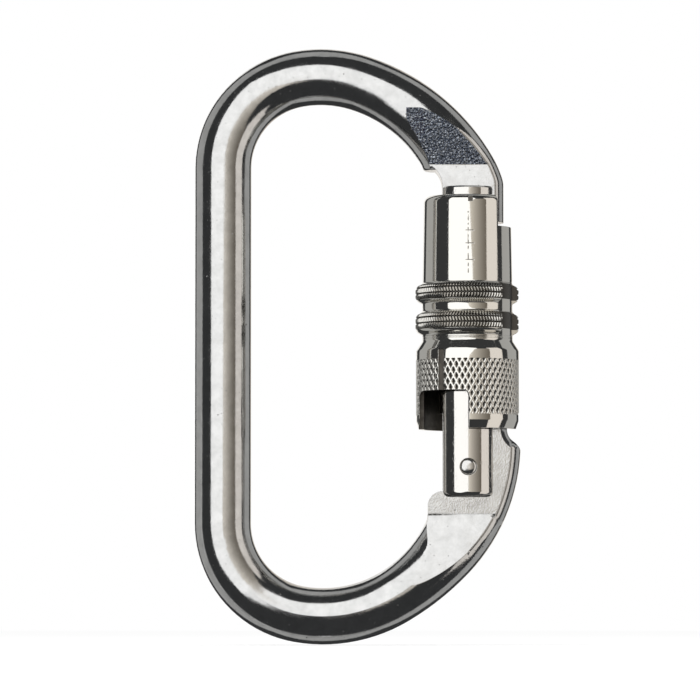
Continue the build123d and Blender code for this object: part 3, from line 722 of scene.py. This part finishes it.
wire_steel, tree, where = bare_material("oiled_spring_wire")
film = node(tree, "TexNoise", Vector=where, Scale=1000 / 1.5, Detail=2)
tint = node(tree, "Mix", film, linear("#8E8C8A"), linear("#6F6D6B"), data_type="RGBA")
draws = node(tree, "TexNoise", Vector=where, Scale=1000 / 0.2, Detail=2)
metal(tree, tint, node(tree, "MapRange", film, 0.3, 0.7, 0.18, 0.32), relief(tree, 0.03, (draws, 0.003)))
for name in ("gate_spring", "sleeve_spring"):
    for part_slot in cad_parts[name].material_slots:
        part_slot.material = wire_steel

# ---------------------------------------------------------------------------------------------
# Studio. A white table in a white room, and the cards that bright metal is shot between: one soft
# white panel on the left, a warm wall on the right that darkens away from the panel, black flags
# round both and a grey sweep behind. The cards are seen in the metal only.

PART_CENTRE = Vector((0.005, 0, -0.04375))      # metres, as are the sizes of this section
CAMERA_DISTANCE = 0.86
CAMERA_RISE = math.radians(-3.3)
VIEW_WIDTH = 0.1246
SENSOR = 36             # of the camera, in millimetres
FLAG_GREY = "#3E3F40"
TABLE_GAP = 0.0001      # keeps the lowest point of the part off the table
# Outlines of cards, as azimuths and heights in degrees, seen from the part. The front is 0.
PANEL = [
    (-50, -5), (-46, -18), (-28, -27), (-10, -17), (-2, -8), (3.2, -7),
    (4, 3), (7, 10), (24, 28), (24, 38), (0, 50), (-50, 50),
]
WALL = [(3.2, -14), (52, -14), (52, 30), (24, 28), (7, 10), (4, 3)]
PALE_WALL = [(50, -40), (84, -40), (84, 40), (50, 40)]
FRONT_FLAG = [(-92, -88), (100, -88), (100, 88), (-92, 88)]
SWEEP = [(88, -89), (272, -89), (272, 89), (88, 89)]
BACK_FLAG = [(140, -60), (220, -60), (220, 60), (140, 60)]
BACK_PANEL = [(158, -14), (199, -9), (203, 34), (160, 40)]
CARD_FACE = 12          # degrees that one face of a bent card spans at most


def direction(azimuth, height):
    """The way to an azimuth and a height in radians."""
    level = math.cos(height)
    return Vector((math.sin(azimuth) * level, -math.cos(azimuth) * level, math.sin(height)))


camera = bpy.data.objects.new("camera", bpy.data.cameras.new("camera"))
scene.collection.objects.link(camera)
camera.location = PART_CENTRE + CAMERA_DISTANCE * direction(0, CAMERA_RISE)
camera.rotation_euler = (math.pi / 2 - CAMERA_RISE, 0, 0)
camera.data.sensor_width = SENSOR
camera.data.lens = SENSOR * CAMERA_DISTANCE / VIEW_WIDTH
camera.data.clip_start = 0.01
camera.data.clip_end = 50
scene.camera = camera
scene.view_settings.view_transform = "Standard"

# The room is white to the eye and in the metal, and lights the table less.
room = scene.world or bpy.data.worlds.new("room")
scene.world = room
room.use_nodes = True
tree = room.node_tree
tree.nodes.clear()
rays = node(tree, "LightPath")
direct = node(tree, "Math", rays.outputs["Is Camera Ray"], rays.outputs["Is Glossy Ray"], operation="MAXIMUM")
direct = node(tree, "Math", direct, rays.outputs["Is Transmission Ray"], operation="MAXIMUM")
sky = node(tree, "Background", (1, 1, 1, 1), node(tree, "MapRange", direct, 0, 1, 0.7, 1.0))
node(tree, "OutputWorld", sky)


def sheet_of_card(name, outline, distance, near, far, strength):
    """A bent card that faces the part, with one colour at its first azimuth and another at its last."""
    bm = bmesh.new()
    bm.faces.new([bm.verts.new((azimuth, height, 0)) for azimuth, height in outline])
    for _ in range(6):
        bmesh.ops.triangulate(bm, faces=bm.faces)
        long_edges = [edge for edge in bm.edges if edge.calc_length() > CARD_FACE]
        if long_edges:
            bmesh.ops.subdivide_edges(bm, edges=long_edges, cuts=1)
    for vertex in bm.verts:
        vertex.co = PART_CENTRE + distance * direction(math.radians(vertex.co.x), math.radians(vertex.co.y))
    mesh = bpy.data.meshes.new(name)
    bm.to_mesh(mesh)
    bm.free()
    card = bpy.data.objects.new(name, mesh)
    scene.collection.objects.link(card)
    paint, tree, _ = bare_material(name)
    across = node(tree, "SeparateXYZ", node(tree, "TexCoord").outputs["Generated"])
    across = node(tree, "Math", across, 0.6, operation="POWER")
    colour = node(tree, "Mix", across, linear(near), linear(far), data_type="RGBA")
    node(tree, "OutputMaterial", node(tree, "Emission", colour, strength))
    mesh.materials.append(paint)
    card.visible_camera = False
    card.visible_diffuse = False
    card.visible_transmission = False
    card.visible_shadow = False


sheet_of_card("soft_white_panel", PANEL, 0.50, "#FFFFFF", "#FFFFFF", 1.5)
sheet_of_card("warm_wall", WALL, 0.52, "#FAF3E8", "#6A635A", 1.15)
sheet_of_card("pale_wall", PALE_WALL, 0.54, "#EAE4DE", "#EAE4DE", 1.2)
sheet_of_card("black_flag", FRONT_FLAG, 0.60, FLAG_GREY, FLAG_GREY, 1.0)
sheet_of_card("grey_sweep", SWEEP, 0.70, "#C6C6C5", "#C6C6C5", 0.85)
sheet_of_card("back_flag", BACK_FLAG, 0.66, FLAG_GREY, FLAG_GREY, 1.0)
sheet_of_card("back_panel", BACK_PANEL, 0.58, "#FFFFFF", "#B9B1A6", 1.3)

bm = bmesh.new()
bmesh.ops.create_grid(bm, x_segments=1, y_segments=1, size=6)
for vertex in bm.verts:
    vertex.co.z = cad_box[0][2] - TABLE_GAP
mesh = bpy.data.meshes.new("table_top")
bm.to_mesh(mesh)
bm.free()
table_top = bpy.data.objects.new("table_top", mesh)
scene.collection.objects.link(table_top)
# Matt white paper, lifted a little so that it runs into the white of the room.
paper, tree, _ = bare_material("white_matt_paper")
matt = node(tree, "BsdfDiffuse", linear("#F2F2F2"))
lift = node(tree, "Emission", (1, 1, 1, 1), 0.35)
node(tree, "OutputMaterial", node(tree, "AddShader", matt, lift))
mesh.materials.append(paper)
table_top.visible_glossy = False

lamp = bpy.data.objects.new("soft_lamp", bpy.data.lights.new("soft_lamp", "AREA"))
scene.collection.objects.link(lamp)
lamp.data.size = 0.6
lamp.data.energy = 1.2
lamp.location = (-0.3, -0.35, 0.7)
lamp.rotation_euler = (Vector((0, 0, -0.05)) - lamp.location).to_track_quat("-Z", "Y").to_euler()
lamp.visible_glossy = False
